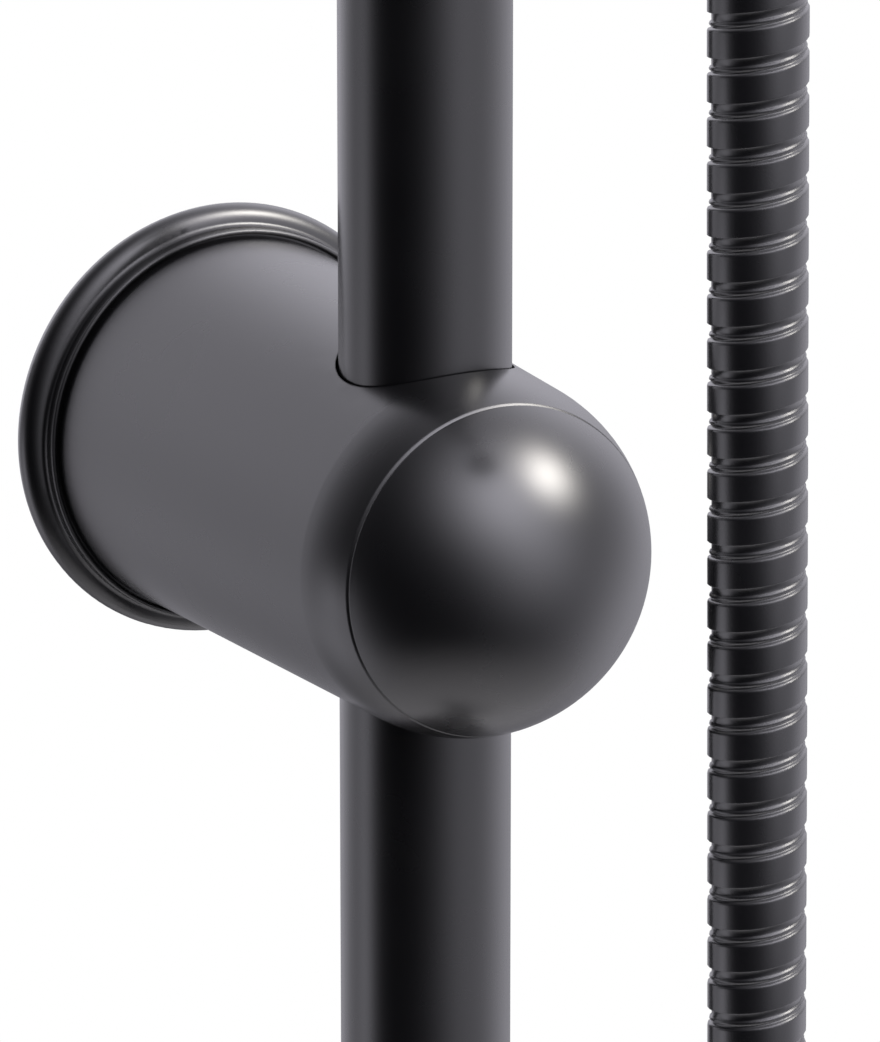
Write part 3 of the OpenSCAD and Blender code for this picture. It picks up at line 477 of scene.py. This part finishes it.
# The third colour of each finish is its painted edge highlight.
matt_black = coated(
    "matt_black", (0.0014, 0.0014, 0.0016), (0.0024, 0.0024, 0.0027), (0.008, 0.008, 0.009),
    metallic=0.0, roughness=0.27, spread=0.012, grain_size=0.0004, grain_height=0.000004,
)
zinc_steel = coated(
    "dark_steel", (0.20, 0.20, 0.21), (0.27, 0.27, 0.28), (0.42, 0.42, 0.43),
    metallic=1.0, roughness=0.34, spread=0.06, grain_size=0.0003, grain_height=0.000006, stretch=(1, 6, 1),
)
bare_brass = coated(
    "brass", (0.47, 0.33, 0.13), (0.58, 0.42, 0.18), (0.72, 0.56, 0.28),
    metallic=1.0, roughness=0.30, spread=0.07, grain_size=0.0004, grain_height=0.000006, stretch=(1, 1, 5),
)
pale_nylon = coated(
    "nylon", (0.62, 0.60, 0.54), (0.68, 0.66, 0.60), (0.74, 0.72, 0.66),
    metallic=0.0, roughness=0.48, spread=0.05, grain_size=0.0006, grain_height=0.000008,
)
for bracket in brackets:
    dress([f"{bracket}_{piece}" for piece in bracket_black], matt_black)
    dress([f"{bracket}_{piece}" for piece in bracket_zinc], zinc_steel)
    dress([f"{bracket}_clamp_ring"], bare_brass)
    dress([f"{bracket}_clamp_pad"], pale_nylon)


# Riser and overhead arm: drawn brass tubes, coated matt black after bending. The arm slips into the riser
# and seals on two rubber rings, and two more seal the riser's foot in the diverter.
black_rubber = coated(
    "rubber", (0.014, 0.014, 0.014), (0.020, 0.020, 0.020), (0.03, 0.03, 0.03),
    metallic=0.0, roughness=0.62, spread=0.06, grain_size=0.0005, grain_height=0.00001,
)
dress(["riser", "overhead_arm"], matt_black)
dress(["arm_joint_seals", "riser_foot_seals"], black_rubber)


# Rain head: a spun shell with a punched face pressed into it. It hangs on a ball at the arm's end, held by a
# screwed collar over a rubber seat.
dress(["rain_head_shell", "rain_head_face", "swivel_ball", "swivel_collar"], matt_black)
dress(["swivel_seat"], black_rubber)


# Slider and handset holder: castings in the same coat. The slider runs on a nylon bush and is clamped by a
# knob on a steel spindle, and a screw and a friction washer keep the holder on its pin.
dress(["slider_body", "slider_knob", "cradle"], matt_black)
dress(["slider_bush"], pale_nylon)
dress(["slider_clamp_spindle", "cradle_friction_washer", "cradle_pivot_screw"], zinc_steel)


# Handset and hose ends: one hollow casting with a pressed spray plate, and turned nuts over rubber washers
# at both ends of the hose. The hose's own strip has the same coat, with a little more grain.
dress(["handset_body", "handset_face", "hose_cone_nut", "hose_outlet_nut"], matt_black)
dress(["handset_washer", "hose_outlet_washer"], black_rubber)
hose_black = coated(
    "hose_black", (0.003, 0.003, 0.0034), (0.005, 0.005, 0.0056), (0.02, 0.02, 0.022),
    metallic=0.0, roughness=0.26, spread=0.03, grain_size=0.0004, grain_height=0.000010,
)
dress(["hose"], hose_black)
hose.data.materials.append(hose_black)


# Diverter and inlet: a ball-shaped valve body with its knob, lever pin and ring nut in the same coat. The
# cartridge, spindle, outlet nipple and inlet tail are bare turned brass.
dress(["diverter_body", "cartridge_nut", "diverter_knob", "diverter_lever", "inlet_nut"], matt_black)
dress(["diverter_cartridge", "diverter_spindle", "outlet_nipple", "inlet_tail"], bare_brass)
dress(["inlet_washer"], black_rubber)


# Spray nozzles: a soft silicone sheet behind each spray plate, with a tapered teat through every hole and
# a fine outlet in each tip. Each sheet is moulded in one piece, and lies between the plate and the head.
teat_sides = 16
soft_silicone = coated(
    "silicone", (0.040, 0.041, 0.043), (0.052, 0.053, 0.055), (0.07, 0.07, 0.072),
    metallic=0.0, roughness=0.46, spread=0.05, grain_size=0.0006, grain_height=0.000006,
)
dress(["rain_head_nozzle_mat", "handset_nozzle_mat"], soft_silicone)
rain_teat = {
    "rings": 6, "step": 0.016, "sheet_radius": 0.113, "plate": 0.0025, "sheet": 0.0022,
    "root": 0.0021, "tip": 0.0014, "out": 0.0016, "outlet": 0.0006,
}
hand_teat = {
    "rings": 4, "step": 0.009, "sheet_radius": 0.041, "plate": 0.0025, "sheet": 0.0018,
    "root": 0.0016, "tip": 0.0011, "out": 0.0012, "outlet": 0.00045,
}
spray_tilt = math.radians(20)


def ring_places(step, count):
    """The middle and rings of six, twelve and so on round it."""
    places = [(0.0, 0.0)]
    for k in range(1, count + 1):
        for i in range(6 * k):
            a = math.radians(60 * i / k)
            places.append((k * step * math.cos(a), k * step * math.sin(a)))
    return places


def turned_rings(mesh, x, y, profile, sides):
    """Adds a body turned about a line through (x, y) along Z, closed at both ends of its profile."""
    turns = [2 * math.pi * i / sides for i in range(sides)]
    loops = []
    for radius, z in profile:
        loops.append([mesh.verts.new((x + radius * math.cos(t), y + radius * math.sin(t), z)) for t in turns])
    for low, high in zip(loops, loops[1:]):
        for i in range(sides):
            j = (i + 1) % sides
            mesh.faces.new((low[i], low[j], high[j], high[i]))
    mesh.faces.new(list(reversed(loops[0])))
    mesh.faces.new(loops[-1])


def build_nozzle_sheet(name, size, middle, outwards, node, body):
    """The sheet with its teats, made with +Z out of the plate and then turned to point outwards."""
    mesh = bmesh.new()
    back = -size["plate"] - size["sheet"]
    turned_rings(mesh, 0, 0, [(size["sheet_radius"], back), (size["sheet_radius"], -size["plate"])], 96)
    root, tip, out, outlet = size["root"], size["tip"], size["out"], size["outlet"]
    # A teat from its root to the bottom of its outlet: how wide, and how far out of the plate
    profile = [
        (root, -size["plate"] - size["sheet"] / 2), (root, -0.0001), (root * 0.93, out * 0.2),
        (tip * 1.08, out * 0.75), (tip * 0.98, out * 0.93), (tip * 0.84, out), (outlet * 1.5, out),
        (outlet, out * 0.88), (outlet * 0.9, out * 0.2),
    ]
    for x, y in ring_places(size["step"], size["rings"]):
        turned_rings(mesh, x, y, profile, teat_sides)
    for face in mesh.faces:
        face.smooth = len(face.verts) == 4
    right = Vector((1, 0, 0))
    turn = Matrix((right, outwards.cross(right), outwards)).transposed().to_4x4()
    bmesh.ops.transform(mesh, matrix=Matrix.Translation(middle) @ turn, verts=mesh.verts)
    data = bpy.data.meshes.new(name)
    mesh.to_mesh(data)
    mesh.free()
    data.materials.append(soft_silicone)
    piece = bpy.data.objects.new(name, data)
    bpy.context.scene.collection.objects.link(piece)
    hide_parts(node)
    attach(piece, body)
    return piece


face_low, face_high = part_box("rain_head_face")
rain_middle = Vector(((face_low.x + face_high.x) / 2, (face_low.y + face_high.y) / 2, face_low.z))
build_nozzle_sheet(
    "rain_head_teats", rain_teat, rain_middle, Vector((0, 0, -1)), "rain_head_nozzle_mat", "rain_head"
)
spray_low, spray_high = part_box("handset_face")
spray_out = Vector((0, -math.cos(spray_tilt), -math.sin(spray_tilt)))
spray_middle = (spray_low + spray_high) / 2 + spray_out * hand_teat["plate"] / 2
build_nozzle_sheet(
    "handset_teats", hand_teat, spray_middle, spray_out, "handset_nozzle_mat", "handset_cradle"
)
